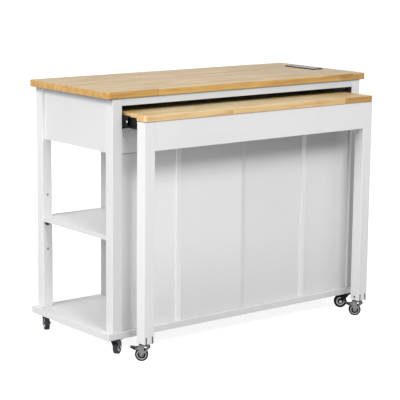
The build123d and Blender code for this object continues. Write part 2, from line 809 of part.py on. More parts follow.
def axle(wheel_radius, trail):
    """Make the axle at the origin's fork, with a round nut outside each cheek."""
    half = fork_outer + axle_nut_height
    with BuildPart() as rod:
        with BuildSketch(Plane.XZ.offset(-half)):
            with Locations((trail, wheel_radius)):
                Circle(axle_nut_radius)
        extrude(amount=axle_nut_height)
        with BuildSketch(Plane.XZ.offset(-half)):
            with Locations((trail, wheel_radius)):
                Circle(axle_radius)
        extrude(amount=2 * half)
        with BuildSketch(Plane.XZ.offset(fork_outer)):
            with Locations((trail, wheel_radius)):
                Circle(axle_nut_radius)
        extrude(amount=axle_nut_height)
    return rod.part


def tyre(wheel_radius, trail):
    """Make the rubber tyre at the origin's fork, rounded on its two outer rims."""
    with BuildPart() as ring:
        with BuildSketch(Plane.XZ.offset(-wheel_width / 2)):
            with Locations((trail, wheel_radius)):
                Circle(wheel_radius)
                Circle(wheel_radius - tyre_depth, mode=Mode.SUBTRACT)
        extrude(amount=wheel_width)
        circles = ring.edges().filter_by(GeomType.CIRCLE)
        outer_rims = circles.filter_by(lambda edge: edge.radius > wheel_radius - tyre_depth / 2)
        fillet(outer_rims, eased(tyre_ease, wheel_width))
    return ring.part


def rim(wheel_radius, trail):
    """Make the plastic rim inside the tyre, bored to turn on the axle."""
    with BuildPart() as disc:
        with BuildSketch(Plane.XZ.offset(-wheel_width / 2 + rim_inset)):
            with Locations((trail, wheel_radius)):
                Circle(wheel_radius - tyre_depth)
                Circle(axle_radius + axle_fit, mode=Mode.SUBTRACT)
        extrude(amount=wheel_width - 2 * rim_inset)
        with BuildSketch(Plane.XZ.offset(-wheel_width / 2 - fork_gap / 2)):
            with Locations((trail, wheel_radius)):
                Circle(axle_boss_radius)
                Circle(axle_radius + axle_fit, mode=Mode.SUBTRACT)
        extrude(amount=wheel_width + fork_gap)
    return disc.part


def brake():
    """Make the brake pedal on its pin: a wedge from the pin and the shoe over the tyre out to the tip."""
    with BuildPart() as pedal:
        with BuildSketch(Plane.XZ.offset(-fork_outer)):
            with Locations((brake_pin_x, brake_pin_height)):
                Circle(brake_pin_radius)
        extrude(amount=2 * fork_outer)
        root = (brake_pin_x, brake_pin_height, brake_root_radius)
        shoe = (table_trail + brake_shoe_forward, brake_shoe_height, brake_shoe_radius)
        tip = (table_trail + brake_tip_forward, brake_tip_height, brake_tip_radius)
        with BuildSketch(Plane.XZ.offset(-brake_width / 2)):
            add(stretched([root, shoe, tip]))
        extrude(amount=brake_width)
    return pedal.part


def placed(template, spot, turn):
    """Stand a caster piece at its place under the cabinet or a leg, turned about its kingpin."""
    with BuildPart() as standing:
        with Locations(Location((spot[0], cabinet_y + spot[1], 0), (0, 0, turn))):
            add(template)
    return standing.part


# Cabinet casters: four plates in one node, and a fork and a wheel for each
caster_x = half_length - caster_inset_x
caster_y = half_depth - caster_inset_y
caster_spots = {
    "front_left": (-caster_x, -caster_y),
    "front_right": (caster_x, -caster_y),
    "back_left": (-caster_x, caster_y),
    "back_right": (caster_x, caster_y),
}
plate_mount = swivel_mount(True)
keep_group([placed(plate_mount, spot, 0) for spot in caster_spots.values()], "caster_plates")
for name, spot in caster_spots.items():
    turn = cabinet_caster_turns[name]
    wheel_place = (cabinet_wheel_radius, cabinet_trail)
    fork_pieces = (fork(*wheel_place, plain_cheek), axle(*wheel_place))
    keep_group([placed(piece, spot, turn) for piece in fork_pieces], f"caster_fork_{name}")
    wheel_pieces = (tyre(*wheel_place), rim(*wheel_place))
    keep_group([placed(piece, spot, turn) for piece in wheel_pieces], f"caster_wheel_{name}")

# Table casters under the legs, with brakes
stem_mount = swivel_mount(False)
table_spots = {
    "left": (-middle(leg_x), middle(leg_y)),
    "right": (middle(leg_x), middle(leg_y)),
}
keep_group([placed(stem_mount, spot, 0) for spot in table_spots.values()], "table_caster_stems")
turn = table_caster_turn
wheel_place = (table_wheel_radius, table_trail)
for name, spot in table_spots.items():
    fork_pieces = (fork(*wheel_place, braked_cheek), axle(*wheel_place))
    keep_group([placed(piece, spot, turn) for piece in fork_pieces], f"table_caster_fork_{name}")
    wheel_pieces = (tyre(*wheel_place), rim(*wheel_place))
    keep_group([placed(piece, spot, turn) for piece in wheel_pieces], f"table_caster_wheel_{name}")
    keep(placed(brake(), spot, turn), f"table_caster_brake_{name}")

# The few values that the joints and mounts are stated with
print("cabinet centre y", cabinet_y)
print("table travel from rest", -table_out, "to the open end")
print("hinge axes x", hinge_axes["left"][0], hinge_axes["right"][0], "y", cabinet_y + hinge_axis_y)
print("caster spots", caster_spots, table_spots)
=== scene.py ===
# %% [markdown]
# A white kitchen island stands on casters, and a table with a matching wooden top pulls out of its long side.
# Its boards, slides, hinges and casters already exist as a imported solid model, loaded as a fixed frame.
# What Blender adds is the look: finishes, the turned wheels, the nuts and screws, light and a camera.

# %% Load the frame
import json
import math
import bmesh
import bpy
import numpy as np
from mathutils import Matrix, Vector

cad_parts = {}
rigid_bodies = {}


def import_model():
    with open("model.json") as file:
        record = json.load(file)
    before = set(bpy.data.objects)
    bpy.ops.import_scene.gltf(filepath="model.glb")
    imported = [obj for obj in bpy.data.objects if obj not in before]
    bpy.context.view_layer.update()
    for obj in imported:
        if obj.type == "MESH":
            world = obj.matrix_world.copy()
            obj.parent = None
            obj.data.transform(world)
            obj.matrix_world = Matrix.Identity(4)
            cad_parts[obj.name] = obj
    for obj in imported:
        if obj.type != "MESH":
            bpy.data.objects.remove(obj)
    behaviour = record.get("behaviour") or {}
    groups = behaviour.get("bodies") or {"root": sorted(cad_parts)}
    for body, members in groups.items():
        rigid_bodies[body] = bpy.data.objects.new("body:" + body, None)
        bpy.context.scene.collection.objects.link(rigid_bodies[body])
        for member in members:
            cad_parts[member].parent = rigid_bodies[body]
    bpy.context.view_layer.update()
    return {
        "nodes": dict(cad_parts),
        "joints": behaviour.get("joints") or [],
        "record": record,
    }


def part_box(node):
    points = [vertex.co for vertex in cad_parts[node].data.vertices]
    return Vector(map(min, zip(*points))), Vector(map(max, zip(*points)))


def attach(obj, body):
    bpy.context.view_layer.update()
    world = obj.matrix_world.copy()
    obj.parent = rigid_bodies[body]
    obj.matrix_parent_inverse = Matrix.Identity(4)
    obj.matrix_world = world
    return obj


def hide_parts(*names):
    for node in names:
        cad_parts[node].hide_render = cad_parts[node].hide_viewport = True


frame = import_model()
nodes = frame["nodes"]
joints = {joint["name"]: joint for joint in frame["joints"]}
members = frame["record"]["behaviour"]["bodies"]

# %% [markdown]
# A finish is a small network of shader nodes, and most of it is arithmetic on masks and noises.
# Such networks could be clicked together, but then nobody can read them later.
# Here a socket is wrapped so that Python's own signs write the arithmetic, and one method adds any node.

# %% Shader arithmetic
class Wire:
    """A shader output that takes part in Python sums, each of which adds one Math node."""

    def __init__(self, network, socket):
        self.network = network
        self.socket = socket

    def work_out(self, operation, first, second=0.0):
        return self.network.node("ShaderNodeMath", {"operation": operation}, {0: first, 1: second})

    def __add__(self, other):
        return self.work_out("ADD", self, other)

    def __sub__(self, other):
        return self.work_out("SUBTRACT", self, other)

    def __rsub__(self, other):
        return self.work_out("SUBTRACT", other, self)

    def __mul__(self, other):
        return self.work_out("MULTIPLY", self, other)

    def __truediv__(self, other):
        return self.work_out("DIVIDE", self, other)

    __radd__ = __add__
    __rmul__ = __mul__

    def unsigned(self):
        return self.work_out("ABSOLUTE", self)

    def whole(self):
        return self.work_out("FLOOR", self)

    def fraction(self):
        return self.work_out("FRACT", self)

    def least(self, other):
        return self.work_out("MINIMUM", self, other)

    def most(self, other):
        return self.work_out("MAXIMUM", self, other)


class Network:
    """A tree of shader nodes being built: node() adds any node, and feed() sets or links a socket."""

    def __init__(self, tree):
        self.tree = tree

    def feed(self, socket, value):
        if isinstance(value, Wire):
            self.tree.links.new(value.socket, socket)
        else:
            socket.default_value = value

    def node(self, kind, settings=None, sockets=None, output=0):
        made = self.tree.nodes.new(kind)
        for key, value in (settings or {}).items():
            setattr(made, key, value)
        for key, value in (sockets or {}).items():
            self.feed(made.inputs[key], value)
        return Wire(self, made.outputs[output])


class Finish(Network):
    """The network of a new material; shade() feeds its surface shader."""

    def __init__(self, name):
        self.material = bpy.data.materials.new(name)
        self.material.use_nodes = True
        super().__init__(self.material.node_tree)
        self.surface = self.tree.nodes["Principled BSDF"]

    def shade(self, sockets):
        for key, value in sockets.items():
            self.feed(self.surface.inputs[key], value)
        return self.material


print("shader arithmetic is ready")

# %% [markdown]
# All finishes share a few moves: read the place on the object, make a noise there, blend two colours, and
# raise a bump. Places come from Object coordinates, which are metres in the frame, so grain and specks have
# their real size. The boards have rounded edges, where the normal points between two axes, so the normal
# alone finds the edges, with nothing to paint by hand.

# %% Shared shader moves
edge_gain = 3.4
edge_start = 0.15
edge_full = 0.9


def tone(red, green, blue):
    """A colour as seen on a screen, 0 to 255, turned by the sRGB curve into the linear values of shaders."""
    seen = np.array([red, green, blue]) / 255
    linear = np.where(seen <= 0.04045, seen / 12.92, ((seen + 0.055) / 1.055) ** 2.4)
    return (*linear, 1.0)


def grey(level):
    """A neutral tone."""
    return tone(level, level, level)


def places(finish, stretch=(1.0, 1.0, 1.0)):
    """Object coordinates in metres, stretched by a Mapping node."""
    raw = finish.node("ShaderNodeTexCoord", output="Object")
    return finish.node("ShaderNodeMapping", None, {"Vector": raw, "Scale": stretch})


def noise(finish, where, scale, detail=2.0, roughness=0.5):
    """A soft noise from 0 to 1 with that many features per metre."""
    sockets = {"Vector": where, "Scale": scale, "Detail": detail, "Roughness": roughness}
    return finish.node("ShaderNodeTexNoise", None, sockets)


def blend(finish, factor, first, second):
    """The first colour where the factor is 0 and the second where it is 1."""
    return finish.node("ShaderNodeMix", {"data_type": "RGBA"}, {0: factor, 6: first, 7: second}, output=2)


def tinted(finish, factor, colour, tint):
    """A colour multiplied by a tint, as far as the factor goes."""
    settings = {"data_type": "RGBA", "blend_type": "MULTIPLY"}
    return finish.node("ShaderNodeMix", settings, {0: factor, 6: colour, 7: tint}, output=2)


def between(finish, value, low, high):
    """A value drawn out so that low becomes 0 and high becomes 1, with a smooth step and no overshoot."""
    settings = {"interpolation_type": "SMOOTHSTEP"}
    return finish.node("ShaderNodeMapRange", settings, {0: value, 1: low, 2: high, 3: 0.0, 4: 1.0})


def bump(finish, height, metres, strength):
    """A normal tilted by a height field whose full step is that many metres."""
    sockets = {"Height": height, "Distance": metres, "Strength": strength}
    return finish.node("ShaderNodeBump", None, sockets)


def parts_of(finish, vector):
    """The three numbers of a vector as separate wires."""
    split = finish.node("ShaderNodeSeparateXYZ", None, {0: vector})
    return [Wire(finish, socket) for socket in split.socket.node.outputs]


def place_wires(finish):
    """The place on the object as three wires, in metres."""
    return parts_of(finish, finish.node("ShaderNodeTexCoord", output="Object"))


def normal_wires(finish):
    """The way that the surface looks as three wires."""
    return parts_of(finish, finish.node("ShaderNodeTexCoord", output="Normal"))


def rounded_edges(finish):
    """One minus the largest part of the normal: 0 on flat faces of a board and 1 on its rounded edges."""
    x, y, z = [wire.unsigned() for wire in normal_wires(finish)]
    return between(finish, (1 - x.most(y).most(z)) * edge_gain, edge_start, edge_full)


print("shared shader moves are ready")

# %% [markdown]
# Some areas of the boards have a tone of their own, which is a mark: a mask and the tone that it brings.
# A mask could be painted by hand on an unwrapped board. Here it is worked out from the place on the object
# and from the way that a face looks, so it needs no unwrapping and has its real size.
# The first masks tell faces apart and draw a round spot.

# %% Faces and spots
mm = 0.001
face_start = 0.4
face_full = 0.9
soft_rim = 0.2


def facing(finish, axis, way):
    """1 on the faces that look along an axis, numbered 0 to 2, one way or the other."""
    return between(finish, normal_wires(finish)[axis] * way, face_start, face_full)


def faces_up(finish):
    """1 on the faces that look up."""
    return facing(finish, 2, 1)


def faces_front(finish):
    """1 on the faces that look to the dining side."""
    return facing(finish, 1, -1)


def disc(finish, off_x, off_z, radius):
    """1 inside a round spot on a face that looks to the front, with a soft rim."""
    offset = finish.node("ShaderNodeCombineXYZ", None, {0: off_x, 1: off_z})
    reach = finish.node("ShaderNodeVectorMath", {"operation": "LENGTH"}, {0: offset}, output="Value")
    return between(finish, reach, radius * (1 + soft_rim), radius * (1 - soft_rim))


print("masks of faces and spots are ready")

# %% [markdown]
# In the photograph the boards are darker close under the worktop, behind the table and its right leg, in the
# table's bay and near the floor, and the left one of the front panels is lighter than the right one.
# That is shade and light, painted into the boards here: painted shade under the worktop, behind the table and
# its right leg, in the table's bay and on the plinth's front, and painted light on the left front panel,
# while near the floor the boards are simply darker towards the bottom. More lamps and screens could give it,
# but with painted shade and light a few soft lamps serve for every view.
# The price is that these areas keep their tones under any other light.

# %% Painted shade and light across the boards
fade = 4 * mm
long_fade = 10 * fade
post_edge = 7 * mm
overhang_full = 12 * mm
overhang_end = 30 * mm
foot_start = 420 * mm
foot_full = 60 * mm
panel_top_start = 605 * mm
panel_top_full = 670 * mm
panel_top_left = -300 * mm
panel_top_right = 500 * mm
panel_top_least = 0.4
plinth_depth = 18 * mm


def behind_leg(finish):
    """1 on the right front post below the apron, from just inside its rounded edge: the leg's painted shadow.
    """
    x, _, z = place_wires(finish)
    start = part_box("post_front_right")[0].x + post_edge
    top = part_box("table_apron")[0].z
    return between(finish, x, start - fade, start) * between(finish, z, top, top - long_fade)


def in_table_bay(finish):
    """1 on the right front post above the sill and behind its front face: painted shade inside the table's
    bay.
    """
    _, y, z = place_wires(finish)
    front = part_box("post_front_right")[0].y
    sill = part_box("sill_board")[1].z
    return between(finish, y, front + fade / 2, front + fade) * between(finish, z, sill - fade, sill)


def under_worktop(finish):
    """1 on the faces at the left end that lie close under the overhanging worktop, where shade is painted."""
    z = place_wires(finish)[2]
    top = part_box("left_end_panel")[1].z
    return between(finish, z, top - overhang_end, top - overhang_full) * facing(finish, 0, -1)


def left_of_joint(finish):
    """1 on the left one of the two front panels, which gets painted light."""
    x = place_wires(finish)[0]
    low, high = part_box("panel_joint_strip")
    return between(finish, x, high.x, low.x)


def near_floor(finish):
    """1 near the floor, fading out at knee height."""
    return between(finish, place_wires(finish)[2], foot_start, foot_full)


def behind_table(finish):
    """Up to 1 at the top of the panels behind the table, and more to the right: the table's painted shadow.
    """
    x, _, z = place_wires(finish)
    rightward = between(finish, x, panel_top_left, panel_top_right)
    share = panel_top_least + (1 - panel_top_least) * rightward
    return between(finish, z, panel_top_start, panel_top_full) * share


def plinth_front(finish):
    """1 on the plinth's front face and on the narrow strip of its top before the panels, where the table's
    shade is painted.
    """
    y = place_wires(finish)[1]
    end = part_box("base_panel")[0].y + plinth_depth
    return between(finish, y, end + fade, end)


print("masks of tones across the boards are ready")

# %% [markdown]
# The back left post has a row of holes for shelf pins, and a dark spot round the pin that is in use.
# The feet of the table legs are sawn in twice. Holes and cuts are real ones in the solid model, and light
# alone could show them, but from the camera's distance they are too narrow for that.
# So the walls of the cuts are dark, and so is a narrow band of the face round each hole and along each cut:
# painted shade in place of the shade that they hold.

# %% Pin holes and sawn feet
pin_radius = 2.5 * mm
pin_pitch = 100 * mm
hole_radius = 4.0 * mm
dark_spot_radius = 13 * mm
raw_depth = 0.5 * mm
slot_spread = 26 * mm
slot_height = 25 * mm
slot_band = 2.9 * mm
slot_band_core = 0.8


def off_pin(finish):
    """How far a place on the back left post lies from the pin that carries the shelf, along X and Z."""
    x, _, z = place_wires(finish)
    low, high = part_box("post_back_left")
    return x - (low.x + high.x) / 2, z - (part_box("side_shelf")[0].z - pin_radius)


def pin_holes(finish):
    """1 round the mouths of three holes for shelf pins: heights are folded, so that one disc serves all."""
    off_x, off_z = off_pin(finish)
    folded = (off_z.unsigned() - pin_pitch / 2).unsigned() - pin_pitch / 2
    return disc(finish, off_x, folded, hole_radius) * faces_front(finish)


def dark_round_pin(finish):
    """1 round the pin that carries the shelf."""
    off_x, off_z = off_pin(finish)
    return disc(finish, off_x, off_z, dark_spot_radius) * faces_front(finish)


def sawn_inside(finish):
    """1 where the surface lies deeper in a leg than its four painted sides."""
    x, y, _ = place_wires(finish)
    x = x.unsigned()
    low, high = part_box("table_leg_right")
    depth_x = (x - low.x).least(high.x - x)
    depth_y = (y - low.y).least(high.y - y)
    return between(finish, depth_x.least(depth_y), raw_depth, 2 * raw_depth)


def beside_slots(finish):
    """1 in a band along both slots on the front face of a leg's foot."""
    x, y, z = place_wires(finish)
    low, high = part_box("table_leg_right")
    top = low.z + slot_height
    off_middle = (x.unsigned() - (low.x + high.x) / 2).unsigned()
    off_slot = (off_middle - slot_spread / 2).unsigned()
    near_slot = between(finish, off_slot, slot_band, slot_band * slot_band_core)
    in_front = between(finish, y, low.y + fade, low.y + fade / 2)
    return near_slot * in_front * between(finish, z, top + fade / 2, top)


print("masks of pin holes and sawn feet are ready")

# %% [markdown]
# The cabinet, the legs and the apron are boards with a satin white paint.
# A single white would do from far away, but paint has a faint cloudiness, a fine sprayed texture and uneven
# gloss, and its rounded edges get a paler tone, which is a painted highlight. Those come from three noises
# and the edge mask, all of them weak, because the paint looks new. The marks come on top.

# %% White paint
paint_clouds_per_metre = 2.5
paint_cloud_detail = 3.0
paint_cloud_start = 0.35
paint_cloud_full = 0.7
paint_specks_per_metre = 700.0
brush_stretch = (60.0, 60.0, 3.0)
paint_edge_share = 0.6
cloud_dulls = 0.10
brush_dulls = 0.06
edge_shines = 0.08
brush_relief = 0.5
paint_relief = 0.06 * mm
paint_relief_strength = 0.5


def white_paint(name, body_tone, shade_tone, edge_tone, gloss, marks=()):
    """Clouded, speckled paint with edges of another tone; a mark is a mask's function and its tone."""
    finish = Finish(name)
    where = places(finish)
    cloud = noise(finish, where, paint_clouds_per_metre, paint_cloud_detail)
    specks = noise(finish, where, paint_specks_per_metre)
    brush = noise(finish, places(finish, brush_stretch), 1.0)
    rim = rounded_edges(finish)
    shade = between(finish, cloud, paint_cloud_start, paint_cloud_full)
    colour = blend(finish, shade, body_tone, shade_tone)
    # Paler rounded edges: a painted highlight.
    colour = blend(finish, rim * paint_edge_share, colour, edge_tone)
    for mark, mark_tone in marks:
        colour = blend(finish, mark(finish), colour, mark_tone)
    roughness = gloss + cloud * cloud_dulls + brush * brush_dulls - rim * edge_shines
    normal = bump(finish, specks + brush * brush_relief, paint_relief, paint_relief_strength)
    return finish.shade({"Base Color": colour, "Roughness": roughness, "Normal": normal})


print("white paint is ready")

# %% [markdown]
# In the photograph the boards differ a little in their white, and that is light and shade, painted into their
# tones.
# One paint for all of them and more lamps could be tried, but a tone is simpler to set than a lamp.
# So boards that look alike share a paint, which has its body, cloud and edge tones, its gloss and its marks.

# %% Paints of the boards
# Painted shade close under the worktop's overhang at the left end, a little blue.
overhang_mark = (under_worktop, tone(190, 192, 196))
# Front panels: painted light on the left one, darker towards the floor, and the table's painted shadow at the
# top.
panel_marks = [(left_of_joint, grey(243)), (near_floor, grey(227)), (behind_table, grey(204))]
# Right front post: the leg's painted shadow and painted shade inside the table's bay.
post_marks = [(behind_leg, grey(182)), (in_table_bay, grey(60))]
# Legs: darker towards the floor, and painted shade beside and inside the slots of the foot.
leg_marks = [(near_floor, grey(236)), (beside_slots, tone(92, 90, 88)), (sawn_inside, tone(38, 34, 30))]
# Back left post: painted shade under the worktop, painted light on its front face, a dark spot round the pin
# and painted shade in the pin holes.
back_marks = [overhang_mark, (faces_front, grey(252)), (dark_round_pin, grey(64)), (pin_holes, grey(30))]
# Base: painted light on its top and painted shade on the plinth's front.
base_marks = [(faces_up, grey(233)), (plinth_front, grey(226))]
# The body tones of these paints are lit and shaded copies of one white, so painted light and shade; only the
# joint strip's grey is its own.
board_paint = white_paint("board_paint", grey(240), grey(236), grey(246), 0.34)
# Shelf: its top is painted lighter, which is painted light.
shelf_paint = white_paint("shelf_paint", grey(226), grey(223), grey(230), 0.34, [(faces_up, grey(237))])
back_post_paint = white_paint("back_post_paint", grey(234), grey(231), grey(240), 0.36, back_marks)
panel_paint = white_paint("panel_paint", grey(237), grey(234), grey(244), 0.40, panel_marks)
strip_grey = white_paint("strip_grey", grey(226), grey(221), grey(231), 0.42)
end_paint = white_paint("end_paint", grey(226), grey(224), grey(233), 0.40, [overhang_mark])
# Battens: white edges, a painted highlight.
batten_paint = white_paint("batten_paint", grey(243), grey(240), grey(255), 0.36)
# Rail under the worktop: a cool blue tint, which is painted light.
rail_paint = white_paint("rail_paint", tone(218, 226, 234), tone(215, 223, 231), tone(228, 232, 238), 0.40)
# Partition: darker, which is painted shade inside the bay, and darker towards the floor.
inner_paint = white_paint("inner_paint", grey(209), grey(204), grey(216), 0.44, [(near_floor, grey(188))])
left_post_paint = white_paint("left_post_paint", grey(229), grey(226), grey(236), 0.36, [overhang_mark])
right_post_paint = white_paint("right_post_paint", grey(236), grey(232), grey(240), 0.36, post_marks)
base_paint = white_paint("base_paint", grey(230), grey(227), grey(236), 0.34, base_marks)
leg_paint = white_paint("leg_paint", grey(240), grey(236), grey(246), 0.34, leg_marks)
print("materials with the paints:", len(bpy.data.materials))

# %% [markdown]
# Both tops are block board: narrow staves of pale hardwood glued side by side, each with its own grain.
# A picture of wood could be laid on them, but a formula has no seams and goes on over the edges.
# Rows of staves run along X. Each row is shifted by a random amount and each stave gets a random number.
# The grain is noise drawn out along the stave and shifted by that number, so it breaks at every glue line.

# %% Staves and streaks
stave_width = 0.043
stave_length = 0.46
row_shift = 7.0
glue_line = 0.012
glue_core = 0.4
glue_reach = 2.2
grain_streaks = {"along": 5.0, "across": 60.0, "jump": 9.0, "climb": 5.0, "detail": 5.0, "roughness": 0.62}
pore_streaks = {"along": 24.0, "across": 900.0, "jump": 3.0, "climb": 0.0, "detail": 2.0, "roughness": 0.6}


def staves(finish, x, y):
    """A random number for each stave, and a mask that is 1 on the glue lines.

    Widths across give the row, and lengths along, shifted by row, give the stave. Their fractions tell how
    near a place is to a glue line.
    """
    across = y / stave_width
    row = across.whole()
    row_chance = finish.node("ShaderNodeTexWhiteNoise", {"noise_dimensions": "1D"}, {"W": row})
    along = x / stave_length + row_chance * row_shift
    key = finish.node("ShaderNodeCombineXYZ", None, {0: row, 1: along.whole()})
    chance = finish.node("ShaderNodeTexWhiteNoise", {"noise_dimensions": "2D"}, {"Vector": key})
    side = across.fraction()
    end = along.fraction()
    near_side = side.least(1 - side)
    near_end = end.least(1 - end) * (stave_length / stave_width)
    wood = between(finish, near_side.least(near_end), glue_line * glue_core, glue_line * glue_reach)
    return chance, 1 - wood


def streaks(finish, place, chance, along, across, jump, climb, detail, roughness):
    """Noise with that many features per metre along and across the staves, starting anew on each stave."""
    x, y, z = place
    spot = {0: x * along + chance * jump, 1: y * across, 2: z * across + chance * climb}
    where = finish.node("ShaderNodeCombineXYZ", None, spot)
    return noise(finish, where, 1.0, detail, roughness)


print("staves:", stave_width, "m wide and", stave_length, "m long")

# %% [markdown]
# The face of the wood is pale, its sawn edges are golden, and the front edges end in a darker stave at the
# right. Towards both ends the face is tinted a little darker, as it looks in the photograph.
# The undersides are almost black, a painted shade, because the gap between the two tops is that dark in the
# photograph.
# One colour per face could do this on an unwrapped board; the normal tells the faces apart without that.

# %% Block board
grain_start = 0.42
grain_full = 0.72
grain_share = 0.9
pores_start = 0.58
pores_full = 0.8
pores_share = 0.35
glue_share = 0.4
top_start = 0.35
top_full = 0.9
under_start = -0.6
under_full = -0.9
# Almost black undersides: painted shade.
underside = tone(12, 10, 8)
wood_gloss = 0.36
grain_dulls = 0.12
glue_dulls = 0.1
streak_relief = 0.5
wood_relief = 0.12 * mm
wood_relief_strength = 0.6


def block_board(name, pale, warm, deep, glue, edge_oil, heart_start, heart_oil, left_end, right_end):
    """Staves with their own tones and grain, golden edges and a dark heartwood stave right of heart_start.

    An end is two places along X and a tint: the face takes on the tint from the first place to the second.
    """
    finish = Finish(name)
    place = place_wires(finish)
    x, y, _ = place
    chance, seam = staves(finish, x, y)
    grain = streaks(finish, place, chance, **grain_streaks)
    pores = streaks(finish, place, chance, **pore_streaks)
    colour = blend(finish, chance, pale, warm)
    colour = blend(finish, between(finish, grain, grain_start, grain_full) * grain_share, colour, deep)
    colour = blend(finish, between(finish, pores, pores_start, pores_full) * pores_share, colour, deep)
    colour = blend(finish, seam * glue_share, colour, glue)
    face = colour
    for start, end, tint in (left_end, right_end):
        face = tinted(finish, between(finish, x, start, end), face, tint)
    oil = blend(finish, between(finish, x, heart_start, heart_start + glue_line), edge_oil, heart_oil)
    edge = tinted(finish, 1.0, colour, oil)
    upward = normal_wires(finish)[2]
    colour = blend(finish, between(finish, upward, top_start, top_full), edge, face)
    colour = blend(finish, between(finish, upward, under_start, under_full), colour, underside)
    roughness = wood_gloss + grain * grain_dulls + seam * glue_dulls
    height = grain * streak_relief - pores * streak_relief - seam
    normal = bump(finish, height, wood_relief, wood_relief_strength)
    return finish.shade({"Base Color": colour, "Roughness": roughness, "Normal": normal})


worktop_wood = block_board(
    "worktop_wood",
    pale=tone(217, 194, 149),
    warm=tone(201, 170, 119),
    deep=tone(180, 143, 92),
    glue=tone(154, 115, 67),
    edge_oil=(0.98, 0.79, 0.45, 1.0),
    heart_start=0.46,
    heart_oil=(0.82, 0.63, 0.34, 1.0),
    left_end=(-0.35, -0.60, (0.98, 0.98, 1.0, 1.0)),
    right_end=(0.15, 0.36, (0.89, 0.89, 0.90, 1.0)),
)
table_wood = block_board(
    "table_wood",
    pale=tone(239, 222, 180),
    warm=tone(227, 201, 154),
    deep=tone(208, 172, 120),
    glue=tone(182, 147, 98),
    edge_oil=(1.0, 0.86, 0.70, 1.0),
    heart_start=0.38,
    heart_oil=(0.70, 0.50, 0.25, 1.0),
    left_end=(-0.42, -0.49, (0.91, 0.83, 0.66, 1.0)),
    right_end=(0.28, 0.42, (0.87, 0.79, 0.66, 1.0)),
)
print("wood:", worktop_wood.name, table_wood.name)

# %% [markdown]
# The metal and plastic pieces are small, so their finishes differ mostly in gloss and in a fine texture.
# Each could have a network of its own, but all are a clouded tone with uneven gloss, a bump and sometimes
# worn edges, so one function with those amounts makes every one of them.

# %% Hardware
hardware_clouds_per_metre = 90.0
hardware_detail = 3.0
patch_start = 0.3
patch_full = 0.75
worn_share = 0.5
texture_dulls = 0.5
texture_strength = 0.6


def hardware(name, base, patch, gloss, uneven, texture, metal=0.0, worn=None, shine=0.5):
    """A base tone clouded by a patch tone; a texture is its features per metre and its height in metres."""
    finish = Finish(name)
    where = places(finish)
    texture_scale, texture_metres = texture
    cloud = noise(finish, where, hardware_clouds_per_metre, hardware_detail)
    fine = noise(finish, where, texture_scale, hardware_detail)
    colour = blend(finish, between(finish, cloud, patch_start, patch_full), base, patch)
    if worn:
        colour = blend(finish, rounded_edges(finish) * worn_share, colour, worn)
    roughness = gloss + cloud * uneven + fine * uneven * texture_dulls
    normal = bump(finish, fine, texture_metres, texture_strength)
    finish.surface.inputs["Metallic"].default_value = metal
    finish.surface.inputs["Specular IOR Level"].default_value = shine
    return finish.shade({"Base Color": colour, "Roughness": roughness, "Normal": normal})


print("hardware finish is ready")

# %% [markdown]
# Powder-coated steel has an orange-peel bump, zinc plate has cloudy crystals, satin nickel has a very fine
# texture, rubber is dull, and moulded plastic has a fine even skin. Plain greys could stand for all of them,
# but close up the texture is what tells them apart, so each texture is a pair of named numbers.
# The rails under the table are dark, which is painted shade, and the forks and tyres at the left end greyer,
# which is painted light, as in the photograph.

# %% Metal, rubber and plastic, with painted light and shade
orange_peel = (1400.0, 0.05 * mm)
crystals = (500.0, 0.02 * mm)
satin = (1800.0, 0.01 * mm)
rubber_skin = (900.0, 0.08 * mm)
rim_skin = (900.0, 0.03 * mm)
plastic_skin = (1600.0, 0.03 * mm)
rail_pores = (300.0, 0.08 * mm)
worn_black = tone(46, 46, 50)
worn_left_lit = tone(84, 88, 96)
worn_zinc = tone(152, 153, 155)
black_steel = hardware(
    "black_steel", tone(15, 15, 17), tone(23, 23, 26), 0.38, 0.14, orange_peel, worn=worn_black, shine=0.14
)
# Greyer steel for the caster forks at the left end: painted light from the left lamp.
dusty_steel = hardware(
    "dusty_steel", tone(48, 50, 56), tone(60, 63, 70), 0.42, 0.14, orange_peel, worn=worn_left_lit, shine=0.3
)
zinc_plate = hardware(
    "zinc_plate", tone(122, 123, 125), tone(94, 95, 98), 0.36, 0.22, crystals, metal=0.25, worn=worn_zinc
)
bright_zinc = hardware(
    "bright_zinc", tone(226, 227, 229), tone(204, 206, 210), 0.28, 0.16, crystals, metal=0.6
)
satin_nickel = hardware(
    "satin_nickel", tone(196, 193, 188), tone(176, 173, 168), 0.24, 0.12, satin, metal=1.0
)
tyre_rubber = hardware("tyre_rubber", tone(22, 22, 24), tone(33, 33, 36), 0.58, 0.2, rubber_skin, shine=0.2)
# Greyer rubber for the cabinet's tyres at the left end: painted light.
dusty_rubber = hardware("dusty_rubber", tone(50, 52, 57), tone(64, 66, 72), 0.6, 0.2, rubber_skin, shine=0.3)
rim_white = hardware("rim_white", tone(252, 251, 248), tone(242, 241, 237), 0.38, 0.12, rim_skin)
rim_grey = hardware("rim_grey", tone(214, 214, 214), tone(196, 196, 197), 0.36, 0.12, rim_skin)
black_plastic = hardware(
    "black_plastic", tone(20, 20, 22), tone(29, 29, 32), 0.30, 0.1, plastic_skin, worn=worn_black, shine=0.2
)
strip_black = hardware("strip_black", tone(8, 8, 9), tone(12, 12, 13), 0.45, 0.1, plastic_skin, shine=0.05)
# The socket insert is grey, with a blue tint that is a painted reflection.
socket_plastic = hardware("socket_plastic", tone(114, 121, 126), tone(102, 109, 114), 0.2, 0.1, plastic_skin)
# Dark rails under the table: painted shade.
dark_stain = hardware("dark_stain", tone(44, 41, 38), tone(34, 32, 30), 0.5, 0.2, rail_pores, shine=0.2)
print("materials with the hardware:", len(bpy.data.materials))

# %% [markdown]
# Every node of the solid model already has the right shape, so it only needs its finish.
# The record names a material slot for each node, which saves a long list: slots map to finishes,
# and the few nodes that look different from the rest of their slot are named one by one.

